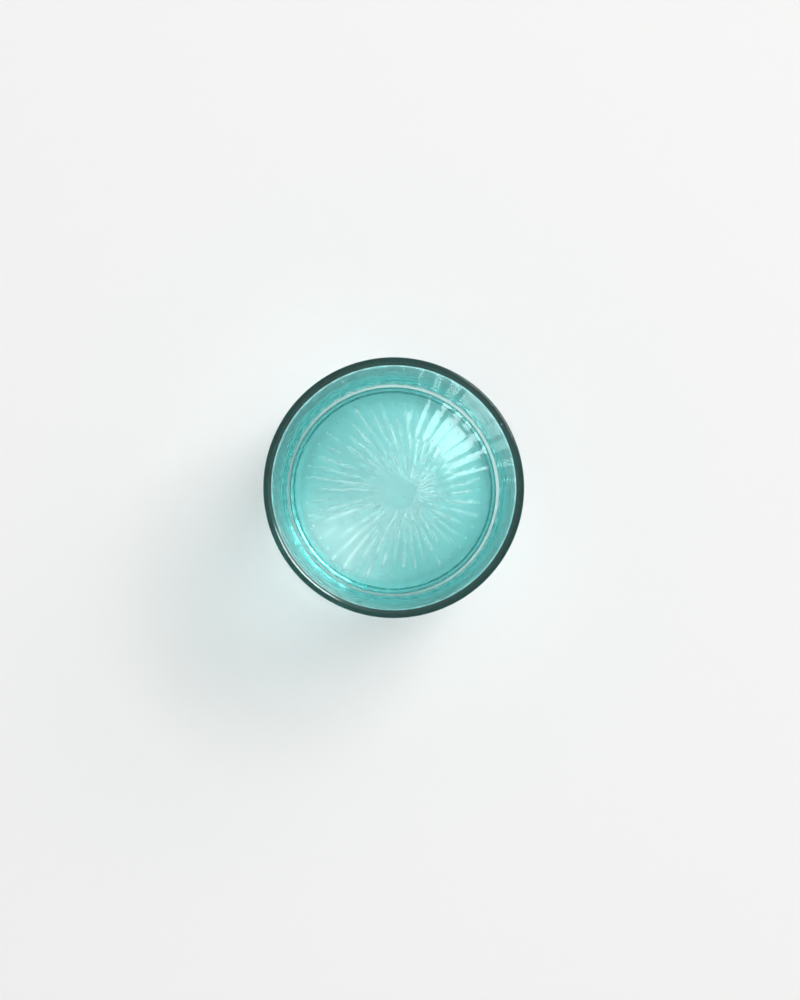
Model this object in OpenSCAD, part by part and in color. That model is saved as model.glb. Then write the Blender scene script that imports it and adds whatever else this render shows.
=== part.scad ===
// Ribbed drinking glass: one tumbler of tinted glass, modelled zone by zone.
// It stands on its foot ring at z = 0, with its axis on Z.

/* [Body] */
// Overall height, from the table to the top of the lip
glass_h = 92; // [75:1:120]
// Outer diameter at the lip, the same as over the ribs
rim_d = 80; // [66:1:95]
// Wall thickness at the lip
wall_t = 2.4; // [2:0.1:3.2]

/* [Lip] */
// Height of the smooth band that is drunk from
lip_h = 6; // [4:0.5:14]
// Rounding of the lip's inner edge
lip_inner_round = 1.3; // [0.8:0.1:1.3]
// Rounding of the lip's outer edge
lip_outer_round = 0.5; // [0.3:0.1:0.6]

/* [Ribs] */
// Number of ribs round the wall, and of rays under the floor
rib_count = 44; // [32:1:48]
// How far a wall rib stands out
rib_depth = 0.4; // [0.3:0.1:0.9]
// Width of the flat valley between two wall ribs
rib_gap = 0.6; // [0.3:0.1:1]
// Length over which the end of a wall rib fades out
rib_fade = 4; // [2:0.5:8]

/* [Heel and foot] */
// Height of the thick heel that joins wall and floor
heel_h = 9.25; // [8.75:0.25:10.5]
// Radius of the rounding where the slanted heel runs up into the wall
heel_round = 6; // [4:0.25:6.5]
// How far the foot ring's outer edge lies in from the lip's
foot_inset = 6.1; // [5.5:0.1:7]
// Width of the flat ring that the glass stands on
foot_w = 1.9; // [1.5:0.1:3]
// How far the foot ring stands down below the heel
foot_drop = 0.4; // [0.2:0.1:0.6]
// Depth that the foot ring is let up into the heel
foot_root = 1.6; // [1:0.1:2]

/* [Floor] */
// Height of the hollow under the floor, at its middle
kick_h = 8.5; // [6:0.25:9]
// Glass thickness at the middle of the floor
floor_t = 5; // [4:0.25:6]
// Height of the bottom of the groove between floor and wall
groove_h = 7; // [6.5:0.25:7.5]
// Radius of that groove
groove_r = 0.9; // [0.6:0.1:1.5]

/* [Rays under the floor] */
// Width of one ray
ray_w = 1.1; // [0.8:0.1:1.2]
// How far a ray stands out of the floor's underside
ray_depth = 0.4; // [0.2:0.05:0.5]
// Distance from the rays' meeting point to where they begin
ray_start = 11; // [11:0.5:14]
// Distance from the rays' outer ends to the foot ring
ray_margin = 1.5; // [1.5:0.25:5]
// Length over which the end of a ray fades out
ray_fade = 4; // [2:0.5:5]
// How far the rays' meeting point lies off the axis
burst_offset = 5.6; // [0:0.2:6]
// Direction of that offset, from +X towards +Y
burst_turn = -15; // [-180:5:180]

/* [Hidden] */
$fn = 96;

// Colours of the glass, deepest where one looks along it
lip_colour = "#0c5f5e";
wall_colour = "#7fd9d3";
heel_colour = "#35bdb5";
foot_colour = "#1d8f8b";
floor_colour = "#a4e6e1";

// How far a cut runs past what it cuts
overrun = 1;
// How deep a rib or ray is rooted in the glass that carries it
root_depth = 0.2;
// How far a ray runs on in that glass past each end
ray_tail = 0.6;

// The wall
rim_r = rim_d / 2;
bore_r = rim_r - wall_t;
valley_r = rim_r - rib_depth;
lip_z = glass_h - lip_h;

// A wall rib's arc passes through its crest and both edges of its seat
seat_half_angle = 180 / rib_count - asin(rib_gap / 2 / valley_r);
rib_arc_x = (rim_r^2 - valley_r^2) / (2 * (rim_r - valley_r * cos(seat_half_angle)));
rib_arc_r = rim_r - rib_arc_x;

// The foot ring and the round hollow inside it
foot_out_r = rim_r - foot_inset;
foot_in_r = foot_out_r - foot_w;
foot_top = foot_drop + foot_root;
kick_r = (foot_in_r^2 + kick_h^2) / (2 * kick_h);
kick_z = kick_h - kick_r;

// The heel's outside slants up from the foot ring until it meets its rounding
heel_x = valley_r - heel_round;
heel_rise = heel_h - foot_drop;
heel_away = sqrt((heel_x - foot_out_r)^2 + heel_rise^2);
heel_slope = atan2(heel_rise, heel_x - foot_out_r) - asin(heel_round / heel_away);

// The groove, and the dome on top of the floor that runs into it
groove_x = bore_r - groove_r;
groove_z = groove_h + groove_r;
dome_top = kick_h + floor_t;
dome_rise = dome_top - groove_z;
dome_r = (groove_x^2 + dome_rise^2 - groove_r^2) / (2 * (dome_rise + groove_r));
dome_z = dome_top - dome_r;
seam_z = dome_z + (groove_z - dome_z) * dome_r / (dome_r + groove_r);

// The rays run along the hollow's sphere from a pole tilted off the axis
pole_tilt = asin(burst_offset / kick_r);
ray_start_angle = asin(ray_start / kick_r);
ray_end_x = foot_in_r - ray_margin;
ray_end_angle = asin(ray_end_x / kick_r);
ray_tail_angle = asin(ray_tail / kick_r);
ray_arc_r = ((ray_w / 2)^2 + ray_depth^2) / (2 * ray_depth);

// Height on a sphere about the origin, at a distance from its axis
function sphere_height(r, x) = sqrt(r^2 - x^2);

// Where ray k ends: a unit vector from the middle of the hollow's sphere
function ray_end(k) =
    let (turn = k * 360 / rib_count - burst_turn)
    [sin(ray_end_angle) * cos(turn), sin(ray_end_angle) * sin(turn), cos(ray_end_angle)];

// The same vector as it is seen from the tilted pole
function from_pole(v) = [
    v.x * cos(pole_tilt) - v.z * sin(pole_tilt),
    v.y,
    v.x * sin(pole_tilt) + v.z * cos(pole_tilt)
];

// Smooth band at the mouth, with rounded edges
module drinking_lip() {
    color(lip_colour)
        rotate_extrude()
            lip_section();
}

module lip_section() {
    inner_x = bore_r + lip_inner_round;
    inner_z = glass_h - lip_inner_round;
    outer_x = rim_r - lip_outer_round;
    outer_z = glass_h - lip_outer_round;
    difference() {
        translate([bore_r, lip_z])
            square([wall_t, lip_h]);
        difference() {
            translate([bore_r - overrun, inner_z])
                square([lip_inner_round + overrun, lip_inner_round + overrun]);
            translate([inner_x, inner_z])
                circle(r = lip_inner_round);
        }
        difference() {
            translate([outer_x, outer_z])
                square([lip_outer_round + overrun, lip_outer_round + overrun]);
            translate([outer_x, outer_z])
                circle(r = lip_outer_round);
        }
    }
}

// Straight wall with upright ribs round its outside
module ribbed_wall() {
    color(wall_colour)
        difference() {
            union() {
                translate([0, 0, heel_h])
                    cylinder(h = lip_z - heel_h, r = valley_r);
                wall_ribs();
            }
            translate([0, 0, heel_h - overrun])
                cylinder(h = lip_z - heel_h + 2 * overrun, r = bore_r);
        }
}

// The ribs are slim round bars sunk in the wall, sloped off at both ends
module wall_ribs() {
    intersection() {
        translate([0, 0, heel_h])
            linear_extrude(height = lip_z - heel_h)
                difference() {
                    union()
                        for (k = [0 : rib_count - 1])
                            rotate(k * 360 / rib_count)
                                translate([rib_arc_x, 0])
                                    circle(r = rib_arc_r);
                    circle(r = valley_r - root_depth);
                }
        rotate_extrude()
            rib_fade_section();
    }
}

module rib_fade_section() {
    rise = rib_fade / rib_depth;
    inside_x = valley_r - root_depth / 2;
    outside_x = rim_r + overrun;
    run = (outside_x - inside_x) * rise;
    polygon([
        [0, heel_h],
        [inside_x, heel_h],
        [outside_x, heel_h + run],
        [outside_x, lip_z - run],
        [inside_x, lip_z],
        [0, lip_z]
    ]);
}

// Thick corner between wall and floor, slanted on its outside
module heel() {
    color(heel_colour)
        rotate_extrude()
            difference() {
                heel_outside();
                heel_inside();
                translate([foot_in_r - overrun, foot_drop - overrun])
                    square([foot_w + overrun, foot_root + overrun]);
            }
}

module heel_outside() {
    meet_x = heel_x + heel_round * sin(heel_slope);
    meet_z = heel_h - heel_round * cos(heel_slope);
    intersection() {
        union() {
            polygon([
                [foot_in_r, foot_drop],
                [foot_out_r, foot_drop],
                [meet_x, meet_z],
                [meet_x, heel_h],
                [foot_in_r, heel_h]
            ]);
            translate([heel_x, heel_h])
                circle(r = heel_round);
        }
        translate([foot_in_r, foot_drop])
            square([valley_r - foot_in_r, heel_rise]);
    }
}

// Space above the dome and in the groove
module heel_inside() {
    difference() {
        translate([0, seam_z])
            square([groove_x, heel_h - seam_z + overrun]);
        translate([0, dome_z])
            circle(r = dome_r);
    }
    translate([groove_x, groove_z])
        square([groove_r, heel_h - groove_z + overrun]);
    translate([groove_x, groove_z])
        circle(r = groove_r);
}

// Flat ring that the glass stands on
module foot_ring() {
    color(foot_colour)
        difference() {
            cylinder(h = foot_top, r = foot_out_r);
            translate([0, 0, -overrun])
                cylinder(h = foot_top + 2 * overrun, r = foot_in_r);
        }
}

// Domed floor, hollow underneath, with the rays on its underside
module rayed_floor() {
    color(floor_colour)
        union() {
            difference() {
                intersection() {
                    cylinder(h = dome_top + overrun, r = foot_in_r);
                    translate([0, 0, dome_z])
                        sphere(r = dome_r);
                }
                translate([0, 0, kick_z])
                    sphere(r = kick_r);
            }
            translate([0, 0, kick_z])
                rays();
        }
}

// Rays that run in below the wall ribs and meet off the middle
module rays() {
    difference() {
        rotate([0, 0, burst_turn])
            rotate([0, pole_tilt, 0])
                difference() {
                    for (k = [0 : rib_count - 1])
                        ray(from_pole(ray_end(k)));
                    rotate_extrude()
                        ray_start_section();
                }
        rotate_extrude()
            ray_end_section();
    }
}

// One ray: a low round moulding bent along the sphere
module ray(end) {
    first_angle = ray_start_angle - ray_tail_angle;
    last_angle = acos(end.z) + ray_tail_angle;
    rotate([0, 0, atan2(end.y, end.x)])
        rotate([90, 0, 0])
            rotate([0, 0, 90 - last_angle])
                rotate_extrude(angle = last_angle - first_angle, $fn = 240)
                    intersection() {
                        translate([kick_r - ray_depth + ray_arc_r, 0])
                            circle(r = ray_arc_r);
                        translate([0, -ray_arc_r])
                            square([kick_r + root_depth, 2 * ray_arc_r]);
                    }
}

// Cut that slopes off the rays towards their meeting point
module ray_start_section() {
    fade_x = ray_start + ray_fade;
    low = sphere_height(kick_r - ray_depth, fade_x);
    high = sphere_height(kick_r, ray_start);
    slope = (high - low) / ray_fade;
    far_x = fade_x + overrun;
    far_z = low - overrun * slope;
    polygon([
        [0, far_z - overrun],
        [far_x, far_z - overrun],
        [far_x, far_z],
        [0, low + fade_x * slope]
    ]);
}

// Cut that slopes off the rays towards the foot ring
module ray_end_section() {
    fade_x = ray_end_x - ray_fade;
    high = sphere_height(kick_r - ray_depth, fade_x);
    low = sphere_height(kick_r, ray_end_x);
    slope = (high - low) / ray_fade;
    near_x = fade_x - overrun;
    near_z = high + overrun * slope;
    polygon([
        [near_x, low - overrun],
        [foot_in_r, low - overrun],
        [foot_in_r, high - (foot_in_r - fade_x) * slope],
        [near_x, near_z]
    ]);
}

drinking_lip();
ribbed_wall();
heel();
foot_ring();
rayed_floor();
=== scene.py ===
import math

import bpy
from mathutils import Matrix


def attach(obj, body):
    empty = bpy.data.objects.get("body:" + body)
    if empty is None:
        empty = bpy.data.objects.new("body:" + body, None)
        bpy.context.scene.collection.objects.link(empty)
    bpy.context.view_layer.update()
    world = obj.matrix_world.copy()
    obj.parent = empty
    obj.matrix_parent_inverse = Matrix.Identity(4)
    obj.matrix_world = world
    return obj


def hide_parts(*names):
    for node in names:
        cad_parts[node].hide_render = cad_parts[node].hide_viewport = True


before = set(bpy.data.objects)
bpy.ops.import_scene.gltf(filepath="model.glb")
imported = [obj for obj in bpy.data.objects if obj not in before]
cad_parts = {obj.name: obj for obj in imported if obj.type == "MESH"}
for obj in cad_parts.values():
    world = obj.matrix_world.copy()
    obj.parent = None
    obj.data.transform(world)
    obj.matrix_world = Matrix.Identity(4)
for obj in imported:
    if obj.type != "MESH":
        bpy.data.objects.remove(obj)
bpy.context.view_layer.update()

# The glass is one piece of clear teal glass, pressed into a ribbed mould and
# polished in the fire at its lip. The ribs run down the outside of the wall,
# and rays under the domed floor run in from them to a point off the middle.
MM = 0.001
glass_height = 92 * MM
lip_radius = 40 * MM
wall_thickness = 2.4 * MM
bore_radius = lip_radius - wall_thickness
bore_taper = 0.8 * MM
ribs = 44
steps_per_rib = 12
rib_depth = 0.4 * MM
rib_seat_share = 0.9
rib_fade = 4 * MM
valley_radius = lip_radius - rib_depth
lip_foot = 86 * MM
lip_flare = 2 * MM
lip_middle = 89 * MM
lip_inner_round = 3 * MM
lip_inner_corner = 0.4 * MM
lip_inner_slope = math.radians(27)
lip_outer_round = 0.7 * MM
heel_top = 9.1 * MM
heel_round = 6 * MM
foot_drop = 0.2 * MM
foot_outer = 33.9 * MM
foot_inner = 32 * MM
foot_round = 0.6 * MM
foot_rise = 0.06 * MM
foot_edge_in = 0.3 * MM
foot_edge_out = 0.1 * MM
hollow_height = 8.5 * MM
floor_thickness = 5 * MM
groove_round = 0.75 * MM
groove_bottom = 7.15 * MM
seam_fade = 4 * MM
ray_depth = 0.36 * MM
ray_width_share = 0.62
widest_ray_share = 0.9
pinch_strength = 0.6
burst_radius = 30.5 * MM
burst_offset = (5.4 * MM, -1.45 * MM)
swirl = math.radians(7)
ripple_depth = 0.14 * MM
waver_depth = 0.04 * MM


def step(share):
    """Eases from 0 to 1 and stays level at both ends."""
    share = min(1, max(0, share))
    return share * share * (3 - 2 * share)


def bend(x, z, radius, first, last, pieces):
    """Points along an arc about (x, z), with its angles in degrees from +X."""
    turns = [math.radians(first + (last - first) * k / pieces) for k in range(pieces + 1)]
    return [(x + radius * math.cos(t), z + radius * math.sin(t)) for t in turns]


# The outline runs from the middle of the hollow out over the foot, up the
# outside, over the lip, down the inside and across the dome to its middle.
hollow_sphere = (foot_inner ** 2 + hollow_height ** 2) / (2 * hollow_height)
hollow_middle = hollow_height - hollow_sphere
hollow_edge_angle = math.asin(foot_inner / hollow_sphere)
hollow_edge_z = foot_rise + foot_round * (1 - math.cos(hollow_edge_angle))
hollow_edge = math.sqrt(hollow_sphere ** 2 - (hollow_edge_z - hollow_middle) ** 2)
groove_x = bore_radius - bore_taper - groove_round
groove_z = groove_bottom + groove_round
dome_top = hollow_height + floor_thickness
dome_rise = dome_top - groove_z
dome_sphere = (groove_x ** 2 + dome_rise ** 2 - groove_round ** 2) / (2 * (dome_rise + groove_round))
dome_middle = dome_top - dome_sphere
seam_angle = math.degrees(math.atan2(dome_middle - groove_z, -groove_x))

outline = []
shares = ("rib", "under", "ray", "ripple", "pinch", "waver", "burst", "sphere", "middle", "mark")


def draw(points, **given):
    """Adds points of the outline, with the shares of relief that they carry."""
    for x, z in points:
        carried = [given.get(name, 0) for name in shares]
        outline.append((x, z, [c(x, z) if callable(c) else c for c in carried]))


def along_burst(start, rise, end, fall):
    """A relief that rises and falls again, at shares of the burst's radius."""
    return lambda x, z: step((x / burst_radius - start) / rise) * step((end - x / burst_radius) / fall)


ray_swell = along_burst(start=0.15, rise=0.25, end=1, fall=0.3)
hollow_steps = 50
draw(
    [(hollow_edge * k / hollow_steps, 0) for k in range(hollow_steps + 1)],
    ray=lambda x, z: (x / burst_radius) ** 0.5 * ray_swell(x, z),
    pinch=1,
    waver=1,
    burst=1,
    sphere=hollow_sphere,
    middle=hollow_middle,
)

# The foot's flat keeps a trace of the ribs, and eases up to the heel's slant.
under_share = foot_rise / rib_depth
foot_bend = bend(
    hollow_edge + foot_round * math.sin(hollow_edge_angle),
    foot_rise + foot_round,
    foot_round,
    first=-90 - math.degrees(hollow_edge_angle),
    last=-90,
    pieces=4,
)
draw(foot_bend[1:], under=under_share, pinch=0.5)
heel_x = valley_radius - heel_round
heel_rise = heel_top - foot_drop
heel_reach = heel_x - foot_outer
heel_slope = math.atan2(heel_rise, heel_reach) - math.asin(heel_round / math.hypot(heel_reach, heel_rise))
heel_bend = bend(heel_x, heel_top, heel_round, first=math.degrees(heel_slope) - 90, last=0, pieces=8)
heel_start = foot_outer + foot_edge_out
heel_steps = 6
slant_steps = [heel_start + (heel_bend[0][0] - heel_start) * k / heel_steps for k in range(heel_steps)]
slant = [(x, foot_drop + (x - foot_outer) * math.tan(heel_slope)) for x in slant_steps]
flat_stop = foot_outer - foot_edge_in
edge_width = heel_start - flat_stop
edge_rise = slant[0][1] - foot_rise
edge_steps = 4
draw(
    [
        (flat_stop + edge_width * k / edge_steps, foot_rise + edge_rise * step(k / edge_steps))
        for k in range(edge_steps)
    ],
    under=lambda x, z: under_share * (1 - step((x - flat_stop) / foot_edge_in)),
)
draw(slant + heel_bend)

# Outside, the ribs die away before the lip, where their valleys flare out.
wall_levels = [level * MM for level in (10, 11, 12, 14, 18, 28, 38, 50, 62, 72, 79, 81.5, 82.8, 84, 85, 86)]
draw(
    [(valley_radius + rib_depth * step((z - lip_foot + lip_flare) / lip_flare), z) for z in wall_levels],
    rib=lambda x, z: step((z - heel_top) / rib_fade) * step((lip_foot - z) / rib_fade),
)
draw([(lip_radius, lip_middle)])

# The lip has a small round outside, a nearly flat crown that slopes off
# inwards, and a tight corner where it meets the bore.
lip_top = glass_height - lip_outer_round
draw(bend(lip_radius - lip_outer_round, lip_top, lip_outer_round, first=0, last=90, pieces=5))
slope_end = 90 + math.degrees(lip_inner_slope)
slope_round = lip_inner_round - lip_inner_corner
corner_x = bore_radius + lip_inner_corner
corner_z = glass_height - slope_round * (1 - math.cos(lip_inner_slope)) - lip_inner_corner
crown_x = corner_x + slope_round * math.sin(lip_inner_slope)
draw(bend(crown_x, glass_height - lip_inner_round, lip_inner_round, first=90, last=slope_end, pieces=4))
draw(bend(corner_x, corner_z, lip_inner_corner, first=slope_end, last=180, pieces=4)[1:])

# Inside, the bore narrows a little on its way down to a groove round the dome.
bore_levels = [level * MM for level in (*range(88, 12, -4), 13, 11, 9.4)]
draw([(bore_radius - bore_taper * (1 - z / glass_height), z) for z in bore_levels], waver=1)
draw(bend(groove_x, groove_z, groove_round, first=0, last=seam_angle, pieces=12))
seam_x = outline[-1][0]


def off_seam(x, z):
    """Relief fades out where the dome meets the groove."""
    return step((seam_x - x) / seam_fade)


dome_steps = 50
dome_places = [seam_x * (1 - k / dome_steps) for k in range(1, dome_steps + 1)]
draw(
    [(x, dome_middle + math.sqrt(dome_sphere ** 2 - x ** 2)) for x in dome_places],
    ripple=along_burst(start=0.2, rise=0.25, end=1, fall=0.12),
    pinch=off_seam,
    waver=off_seam,
    burst=1,
    sphere=dome_sphere,
    middle=dome_middle,
    mark=along_burst(start=0, rise=0.1, end=1.15, fall=0.12),
)

profile_mesh = bpy.data.meshes.new("profile")
profile_mesh.from_pydata([(x, 0, z) for x, z, carried in outline], [], [])
for column, name in enumerate(shares):
    field = profile_mesh.attributes.new(name, "FLOAT", "POINT")
    for k, (x, z, carried) in enumerate(outline):
        field.data[k].value = carried[column]
glass = bpy.data.objects.new("glass", profile_mesh)
bpy.context.scene.collection.objects.link(glass)


class Wire:
    """A value in a node tree. A sum written with it adds its Math nodes."""

    def __init__(self, tree, socket=None):
        self.tree = tree
        self.socket = socket

    def add(self, kind, settings=(), values=(), out=0):
        """Adds any node, with its settings first and then its sockets."""
        node = self.tree.nodes.new(kind)
        for name, value in dict(settings).items():
            setattr(node, name, value)
        for name, value in dict(values).items():
            if isinstance(value, Wire):
                self.tree.links.new(value.socket, node.inputs[name])
            else:
                node.inputs[name].default_value = value
        return Wire(self.tree, node.outputs[out] if node.outputs else None)

    def __getitem__(self, name):
        return Wire(self.tree, self.socket.node.outputs[name])

    def math(self, operation, *values):
        return self.add("ShaderNodeMath", {"operation": operation}, enumerate(values))

    def __add__(self, other):
        return self.math("ADD", self, other)

    def __sub__(self, other):
        return self.math("SUBTRACT", self, other)

    def __mul__(self, other):
        return self.math("MULTIPLY", self, other)

    def __truediv__(self, other):
        return self.math("DIVIDE", self, other)

    def __pow__(self, other):
        return self.math("POWER", self, other)

    def __rsub__(self, other):
        return self.math("SUBTRACT", other, self)

    def __rtruediv__(self, other):
        return self.math("DIVIDE", other, self)

    def __abs__(self):
        return self.math("ABSOLUTE", self)

    __radd__ = __add__
    __rmul__ = __mul__

    def over_zero(self):
        return self.math("MAXIMUM", self, 0)

    def eased(self, low, high):
        """Eases from 0 to 1 as this value goes from low to high."""
        return self.add(
            "ShaderNodeMapRange",
            {"interpolation_type": "SMOOTHSTEP"},
            {"Value": self, "From Min": low, "From Max": high},
        )

    def noise(self, x, y, z, detail=0):
        """Smooth noise at a point, which reaches from about 0 to 1."""
        point = self.add("ShaderNodeCombineXYZ", values={"X": x, "Y": y, "Z": z})
        return self.add("ShaderNodeTexNoise", values={"Vector": point, "Scale": 1, "Detail": detail})["Fac"]


# The tree turns the outline about the axis as a grid, a column for each step
# of each rib and a row for each of its points, and then adds the relief.
tree = bpy.data.node_groups.new("turn_and_rib", "GeometryNodeTree")
face = tree.interface
sizes = {
    "Outline": ("NodeSocketGeometry", None),
    "Ribs": ("NodeSocketInt", ribs),
    "Steps per rib": ("NodeSocketInt", steps_per_rib),
    "Rib seat share": ("NodeSocketFloat", rib_seat_share),
    "Rib depth": ("NodeSocketFloat", rib_depth),
    "Ray depth": ("NodeSocketFloat", ray_depth),
    "Ray width share": ("NodeSocketFloat", ray_width_share),
    "Ripple depth": ("NodeSocketFloat", ripple_depth),
    "Waver depth": ("NodeSocketFloat", waver_depth),
    "Burst radius": ("NodeSocketFloat", burst_radius),
    "Burst X": ("NodeSocketFloat", burst_offset[0]),
    "Burst Y": ("NodeSocketFloat", burst_offset[1]),
    "Swirl": ("NodeSocketFloat", swirl),
    "Glass": ("NodeSocketMaterial", None),
}
for name, (kind, value) in sizes.items():
    face.new_socket(name=name, in_out="INPUT", socket_type=kind)
face.new_socket(name="Mesh", in_out="OUTPUT", socket_type="NodeSocketGeometry")

start = Wire(tree)
given = start.add("NodeGroupInput")
size = start.add("GeometryNodeAttributeDomainSize", values={"Geometry": given["Outline"]})
around = given["Ribs"] * given["Steps per rib"]
grid = start.add(
    "GeometryNodeMeshGrid",
    values={"Size X": 1, "Size Y": 1, "Vertices X": around + 1, "Vertices Y": size["Point Count"]},
)
index = start.add("GeometryNodeInputIndex")
row = start.math("FLOOR", (index + 0.5) / size["Point Count"])
place = index - row * size["Point Count"]


def sampled(field, kind):
    """Reads a field of the outline at this vertex's place along it."""
    return start.add(
        "GeometryNodeSampleIndex",
        {"data_type": kind, "domain": "POINT"},
        {"Geometry": given["Outline"], "Value": field, "Index": place},
    )


outline_point = sampled(start.add("GeometryNodeInputPosition"), "FLOAT_VECTOR")
spot = start.add("ShaderNodeSeparateXYZ", values={0: outline_point})
share = {}
for name in shares:
    outline_share = start.add("GeometryNodeInputNamedAttribute", {"data_type": "FLOAT"}, {"Name": name})
    share[name] = sampled(outline_share, "FLOAT")

# Each rib's columns crowd towards its crest on the floor, where rays are slim.
rib_place = row / given["Steps per rib"] + 0.5
rib_number = start.math("MODULO", start.math("FLOOR", rib_place), given["Ribs"])
even = (rib_place - start.math("FLOOR", rib_place)) * 2 - 1
across = even - share["pinch"] * pinch_strength * (even - even * even * even)
turn = (row + (across - even) * given["Steps per rib"] / 2) / around * (2 * math.pi)
bulge = (1 - (across / given["Rib seat share"]) ** 2).over_zero()
ray_spread = given["Ray width share"] * (given["Burst radius"] / (spot["X"] + MM)) ** 0.5
ray_width = start.math("MINIMUM", ray_spread, widest_ray_share)
bead = (1 - (across / ray_width) ** 2).over_zero() ** 2

# Each vertex notes its place before the rays lean to their point, so that the
# marks in the material can follow them by angle.
mark_place = start.add(
    "ShaderNodeCombineXYZ",
    values={
        "X": spot["X"] * start.math("COSINE", turn),
        "Y": spot["X"] * start.math("SINE", turn),
        "Z": share["mark"],
    },
)
swell = spot["X"] + given["Rib depth"] * bulge * share["rib"]
inward = share["burst"] * (1 - swell / given["Burst radius"]).over_zero()
turn = turn - given["Swirl"] * inward
ring_x = start.math("COSINE", turn)
ring_y = start.math("SINE", turn)

# The bore wavers in and out, more quickly on its way down than on its way
# round. The noise is about 0.5, so that much is taken off.
wavers_round = 5
wavers_down = 160
bore_waver_share = 2.5
bore_noise = start.noise(ring_x * wavers_round, ring_y * wavers_round, spot["Z"] * wavers_down, 1) - 0.5
bore_waver = bore_noise * given["Waver depth"] * bore_waver_share * share["waver"] * (1 - share["burst"])
swell = swell + bore_waver
x = swell * ring_x + inward * given["Burst X"]
y = swell * ring_y + inward * given["Burst Y"]
on_sphere = share["middle"] + start.math("SQRT", (share["sphere"] ** 2 - (x * x + y * y)).over_zero())
z = spot["Z"] + share["burst"] * (on_sphere - spot["Z"])


def patches(level, swing, apart, fineness, lot):
    """A strength that changes along each ray, and differs from ray to ray."""
    spread = start.noise(rib_number * apart, swell * fineness, lot, detail=1) - 0.5
    return (level + spread * swing).over_zero()


# Rays and ripples are calmer on one side of the floor, where it mirrors the
# window.
calm_turn = math.radians(41)
calm_edges = (0.7, 0.86)
calm_start = 17 * MM
calm_fade = 4 * MM
ray_calm_share = 0.8
towards_calm = ring_x * math.cos(calm_turn) + ring_y * math.sin(calm_turn)
calm = towards_calm.eased(*calm_edges) * swell.eased(calm_start, calm_start + calm_fade)
ray_patches = patches(level=0.95, swing=1.5, apart=5.3, fineness=90, lot=3) * (1 - calm * ray_calm_share)
ripple_patches = patches(level=0.5, swing=3, apart=3.7, fineness=150, lot=9) * (1 - calm)
z = z - given["Rib depth"] * bulge * share["under"]
z = z - given["Ray depth"] * bead * share["ray"] * ray_patches
z = z + given["Ripple depth"] * bead * share["ripple"] * ripple_patches
floor_wavers = 130
floor_wavers_up = 20
floor_noise = start.noise(x * floor_wavers, y * floor_wavers, spot["Z"] * floor_wavers_up, 1) - 0.5
z = z + floor_noise * given["Waver depth"] * share["waver"] * share["burst"]
noted = start.add(
    "GeometryNodeStoreNamedAttribute",
    {"data_type": "FLOAT_VECTOR", "domain": "POINT"},
    {"Geometry": grid, "Name": "mark_place", "Value": mark_place},
)
relief_place = start.add("ShaderNodeCombineXYZ", values={"X": x, "Y": y, "Z": z})
placed = start.add("GeometryNodeSetPosition", values={"Geometry": noted, "Position": relief_place})
seam_gap = 0.001 * MM
closed = start.add("GeometryNodeMergeByDistance", values={"Geometry": placed, "Distance": seam_gap})
smooth = start.add("GeometryNodeSetShadeSmooth", values={"Geometry": closed})
real = start.add("GeometryNodeRealizeInstances", values={"Geometry": smooth})
tinted = start.add("GeometryNodeSetMaterial", values={"Geometry": real, "Material": given["Glass"]})
start.add("NodeGroupOutput", values={"Mesh": tinted})

# Teal glass swallows red first, so it is pale across the wall and almost black
# along it. Its inner skin is faintly rolled. The top of the lip is painted dark,
# as painted shade for the dark seen down along the wall, with a polished line
# along its crown.
skin_roughness = 0.008
drift_roughness = 0.012
drift_scale = 180
roll_scale = (60, 60, 170)
roll_depth = 0.19 * MM
outside_roll_share = 0.15
lip_crown = 38.2 * MM
rolled_within = (38.2 * MM, 38.8 * MM)
rolled_above = (12 * MM, 16 * MM)
rolled_below = (84 * MM, 89 * MM)
painted_shade_heights = (91.1 * MM, 91.6 * MM)
polish_edges = (0.25 * MM, 0.4 * MM)
white = (1, 1, 1, 1)
painted_lip_shade = (0.03, 0.11, 0.105, 1)
teal = bpy.data.materials.new("teal_glass")
teal.use_nodes = True
teal.node_tree.nodes.clear()
skin = Wire(teal.node_tree)
where = skin.add("ShaderNodeTexCoord")["Object"]
drift = skin.add("ShaderNodeTexNoise", values={"Vector": where, "Scale": drift_scale, "Detail": 2})["Fac"]
height = skin.add("ShaderNodeSeparateXYZ", values={0: where})["Z"]
level = skin.add("ShaderNodeVectorMath", {"operation": "MULTIPLY"}, {0: where, 1: (1, 1, 0)})
from_axis = skin.add("ShaderNodeVectorMath", {"operation": "LENGTH"}, {0: level}, out="Value")
stretched = skin.add("ShaderNodeVectorMath", {"operation": "MULTIPLY"}, {0: where, 1: roll_scale})
roll = skin.add("ShaderNodeTexNoise", values={"Vector": stretched, "Scale": 1, "Detail": 2})["Fac"]
inside = (1 - from_axis.eased(*rolled_within)) * height.eased(*rolled_above)
inside = inside * (1 - height.eased(*rolled_below))
roll_share = outside_roll_share + inside * (1 - outside_roll_share)
waved = skin.add(
    "ShaderNodeBump",
    values={"Strength": 1, "Distance": roll_depth, "Height": (roll - 0.5) * roll_share},
)
# Painted shade: above these heights the skin's colour turns dark teal, so the lip's top shows the dark seen
# down along the wall.
at_lip = height.eased(*painted_shade_heights)
skin_and_lip_shade = skin.add("ShaderNodeMix", {"data_type": "RGBA"}, {0: at_lip, 6: white, 7: painted_lip_shade}, out=2)
polished = at_lip * (1 - abs(from_axis - lip_crown).eased(*polish_edges))
shell = skin.add(
    "ShaderNodeBsdfPrincipled",
    values={
        "Base Color": skin_and_lip_shade,
        "IOR": 1.52,
        "Transmission Weight": 1,
        "Roughness": skin_roughness + drift * drift_roughness,
        "Coat Weight": polished,
        "Coat Roughness": 0.01,
        "Normal": waved,
    },
)
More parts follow.
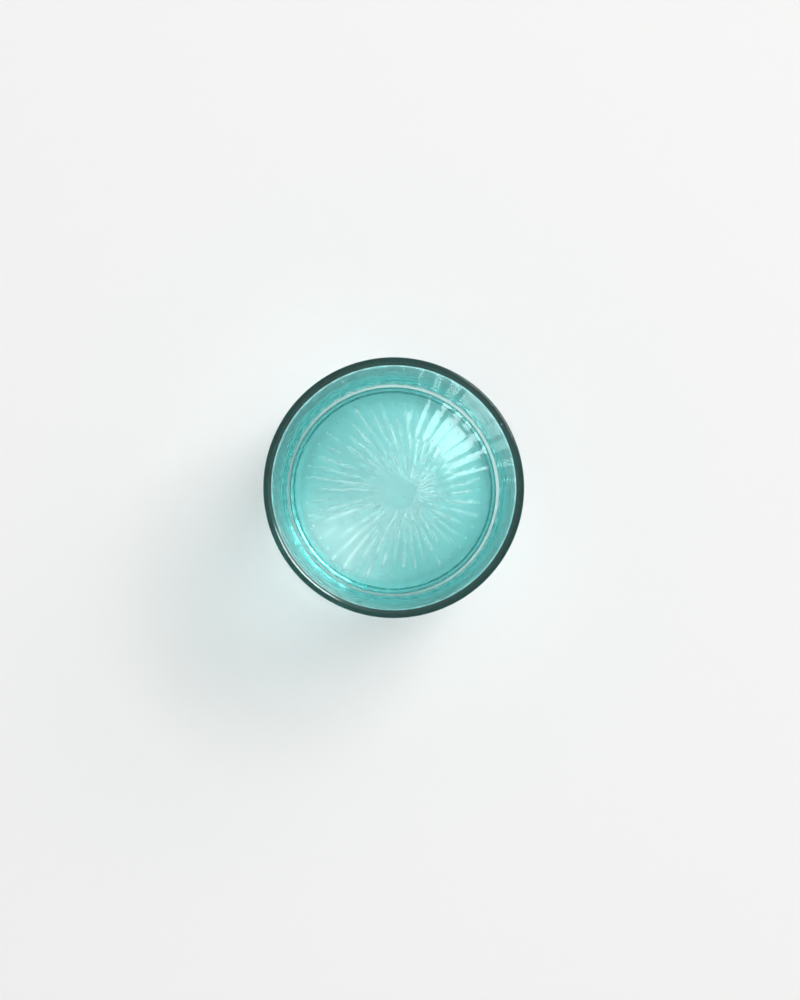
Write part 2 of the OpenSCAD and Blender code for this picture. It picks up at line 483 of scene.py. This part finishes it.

# Pale marks are painted along the rays as painted glints, where light glints
# on them. Each is a broken core in a streaked band, which stops short of the
# middle on one side, with a dot, another painted glint, at its foot.
mark_reach = 11 * MM
mark_blunting = 2 * MM
mark_wander_share = 0.7
shortest_mark = 18 * MM
mark_spread = 24 * MM
outer_fade = (4 * MM, 1 * MM)
inner_fade = (3 * MM, 7 * MM)
inner_lean = 0.5
broken_edges = (0.4, 0.64)
streaked_edges = (0.34, 0.62)
thinnest_core = 0.5
core_swing = 1.1
band_edges = (0.1, 2)
dot_way = 31 * MM
dot_scatter = 1 * MM
dot_sides = (0.25, 0.5)
dot_ends = (0.15 * MM, 0.35 * MM)
core_strength = 0.27
band_strength = 0.19
dot_strength = 0.4
strongest_mark = 0.8
place_read = skin.add("ShaderNodeAttribute", {"attribute_name": "mark_place"})["Vector"]
mark = skin.add("ShaderNodeSeparateXYZ", values={0: place_read})
mark_out = (mark["X"] ** 2 + mark["Y"] ** 2) ** 0.5
mark_turn = skin.math("ARCTAN2", mark["Y"], mark["X"]) * (ribs / (2 * math.pi))
mark_number = skin.math("FLOOR", mark_turn + 0.5)


def grain(apart, fineness, lot, detail=0):
    """Noise that changes along a ray, and differs from ray to ray."""
    return skin.noise(mark_number * apart, mark_out * fineness, lot, detail)


wander = (grain(apart=3.1, fineness=90, lot=4) - 0.5) * mark_wander_share
mark_half = mark_reach / (mark_out + mark_blunting)
off_ray = abs((mark_turn - mark_number) * 2 + wander) / mark_half
broken = grain(apart=7.7, fineness=150, lot=1, detail=1).eased(*broken_edges)
streaked = grain(apart=4.3, fineness=90, lot=8, detail=2).eased(*streaked_edges)
core_width = thinnest_core + grain(apart=2.3, fineness=120, lot=7) * core_swing
core = (1 - off_ray.eased(0, core_width)) * broken
band = (1 - off_ray.eased(*band_edges)) * streaked
mark_stop = shortest_mark + skin.noise(mark_number * 5.9, 2, 3) * mark_spread
outer_end = 1 - mark_out.eased(mark_stop - outer_fade[0], mark_stop + outer_fade[1])
inner_end = (mark_out + mark["X"] * inner_lean).eased(*inner_fade)
off_dot = abs(mark_out - dot_way + skin.noise(mark_number * 9.1, 6, 2) * dot_scatter)
dot = (1 - off_ray.eased(*dot_sides)) * (1 - off_dot.eased(*dot_ends))
# Painted glints: these pale marks and dots mix a lit white into the glass along the rays.
marks = outer_end * inner_end * (core * core_strength + band * band_strength) + dot * dot_strength

# Fine seeds are scattered in the glass, and a pale pool is painted on the
# floor's lower left, a painted pool of the window light that falls there
# through the mouth.
seed_scale = 240
seed_rarity = (0.8, 0.82)
seed_edges = (0.04, 0.07)
seed_strength = 0.5
lit_pool_way = 20 * MM
lit_pool_drift = 10 * MM
lit_pool_edges = (4 * MM, 27 * MM)
lit_pool_strength = 0.34
glint_pool_and_seed_colour = (0.8, 1, 0.99, 1)
passed_colour = (0.02, 0.845, 0.832, 1)
glass_density = 74
cells = skin.add("ShaderNodeTexVoronoi", values={"Vector": where, "Scale": seed_scale})
cell_lot = skin.add("ShaderNodeSeparateColor", values={0: cells["Color"]})["Red"]
seed = cell_lot.eased(*seed_rarity) * (1 - cells["Distance"].eased(*seed_edges))
# Painted light: a pale pool on the floor's lower left, where the window's light falls through the mouth.
off_lit_pool = ((mark["X"] + lit_pool_way) ** 2 + (mark["Y"] + lit_pool_way) ** 2) ** 0.5 + (drift - 0.5) * lit_pool_drift
lit_pool = 1 - off_lit_pool.eased(*lit_pool_edges)
pale = mark["Z"] * (marks + lit_pool * lit_pool_strength) + seed * seed_strength
# The white mixed in here shows the painted glints, the painted pool of light and the real seeds.
glints_pool_and_seeds = skin.add("ShaderNodeBsdfDiffuse", values={"Color": glint_pool_and_seed_colour})
tint = skin.add("ShaderNodeVolumeAbsorption", values={"Color": passed_colour, "Density": glass_density})
faced = skin.add(
    "ShaderNodeMixShader",
    values={0: skin.math("MINIMUM", pale, strongest_mark), 1: shell, 2: glints_pool_and_seeds},
)
skin.add("ShaderNodeOutputMaterial", values={"Surface": faced, "Volume": tint})

shaper = glass.modifiers.new("shape", "NODES")
shaper.node_group = tree
for item in face.items_tree:
    if item.in_out == "INPUT" and sizes[item.name][1] is not None:
        shaper[item.identifier] = sizes[item.name][1]
    if item.name == "Glass":
        shaper[item.identifier] = teal
seen_by_blender = bpy.context.evaluated_depsgraph_get()
shaped = bpy.data.meshes.new_from_object(glass.evaluated_get(seen_by_blender), depsgraph=seen_by_blender)
glass.modifiers.remove(shaper)
if shaped.materials[0] is None:
    shaped.materials.pop(index=0)
glass.data = shaped
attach(glass, "root")
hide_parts("drinking_lip", "ribbed_wall", "heel", "foot_ring", "rayed_floor")

# The table is a plain white sheet, laid flat, which runs out of the picture on
# all sides.
sheet_half = 20
sheet_colour = (0.9, 0.9, 0.895, 1)
corner_ways = [(-1, -1), (1, -1), (1, 1), (-1, 1)]
sheet_mesh = bpy.data.meshes.new("table")
sheet_mesh.from_pydata([(x * sheet_half, y * sheet_half, 0) for x, y in corner_ways], [], [(0, 1, 2, 3)])
table = bpy.data.objects.new("table", sheet_mesh)
bpy.context.scene.collection.objects.link(table)
paper = bpy.data.materials.new("white_sheet")
paper.use_nodes = True
paper.node_tree.nodes.clear()
flat = Wire(paper.node_tree)
matt = flat.add(
    "ShaderNodeBsdfPrincipled",
    values={"Base Color": sheet_colour, "Roughness": 0.9, "Specular IOR Level": 0.2},
)
flat.add("ShaderNodeOutputMaterial", values={"Surface": matt})
sheet_mesh.materials.append(paper)

# Daylight falls from a broad window at the upper right, and a pale room
# around it lights the rest.
window_turn = math.radians(42)
window_tilt = math.radians(33)
window_away = 2.5
window_width = 1
window_height = 0.62
window_strength = 10 * math.pi
window = bpy.data.lights.new("window", "AREA")
window.shape = "RECTANGLE"
window.size = window_width
window.size_y = window_height
window.energy = window_strength * window_width * window_height
pane = bpy.data.objects.new("window", window)
bpy.context.scene.collection.objects.link(pane)


def way(tilt):
    """The direction at this tilt from upright, on the window's side."""
    return (math.sin(tilt) * math.cos(window_turn), math.sin(tilt) * math.sin(window_turn), math.cos(tilt))


pane.location = [window_away * part for part in way(window_tilt)]
pane.rotation_euler = (window_tilt, 0, window_turn + math.pi / 2)

# The room is a little brighter overhead, and glows in one place beyond the
# window.
room_above = 0.71
room_drop = 0.17
room_glow = 2.5
above_ends = math.cos(math.radians(3))
round_starts = math.cos(math.radians(35))
glow_tilt = math.radians(57)
glow_tightness = 14
room = bpy.data.worlds.new("room")
bpy.context.scene.world = room
room.use_nodes = True
room.node_tree.nodes.clear()
air = Wire(room.node_tree)
towards = air.add("ShaderNodeTexCoord")["Generated"]
upward = air.add("ShaderNodeSeparateXYZ", values={0: towards})["Z"]
glow_way = way(glow_tilt)
facing = air.add("ShaderNodeVectorMath", {"operation": "DOT_PRODUCT"}, {0: towards, 1: glow_way}, out="Value")
glow = facing.over_zero() ** glow_tightness
brightness = room_above - room_drop * upward.eased(above_ends, round_starts) + room_glow * glow
lit = air.add("ShaderNodeBackground", values={"Color": white, "Strength": brightness})
air.add("ShaderNodeOutputWorld", values={"Surface": lit})

# The camera hangs above the glass and looks almost straight down into it. The
# point below it lies a little left of and under the picture's middle.
picture_height_px = 1000
below_left_px = 13.4
below_under_px = 9.5
lens = bpy.data.cameras.new("camera")
lens.sensor_fit = "AUTO"
lens.sensor_width = 36
lens.lens = 66.1
lens.clip_end = 50
lens_px = lens.lens / lens.sensor_width * picture_height_px
camera = bpy.data.objects.new("camera", lens)
bpy.context.scene.collection.objects.link(camera)
camera.location = (-2.2 * MM, -6.7 * MM, 654 * MM)
camera.rotation_euler = (math.atan(below_under_px / lens_px), -math.atan(below_left_px / lens_px), 0)
scene = bpy.context.scene
scene.camera = camera
scene.view_settings.view_transform = "Standard"
scene.cycles.max_bounces = 32
scene.cycles.transmission_bounces = 32
scene.cycles.glossy_bounces = 16
scene.cycles.transparent_max_bounces = 16
scene.cycles.blur_glossy = 0
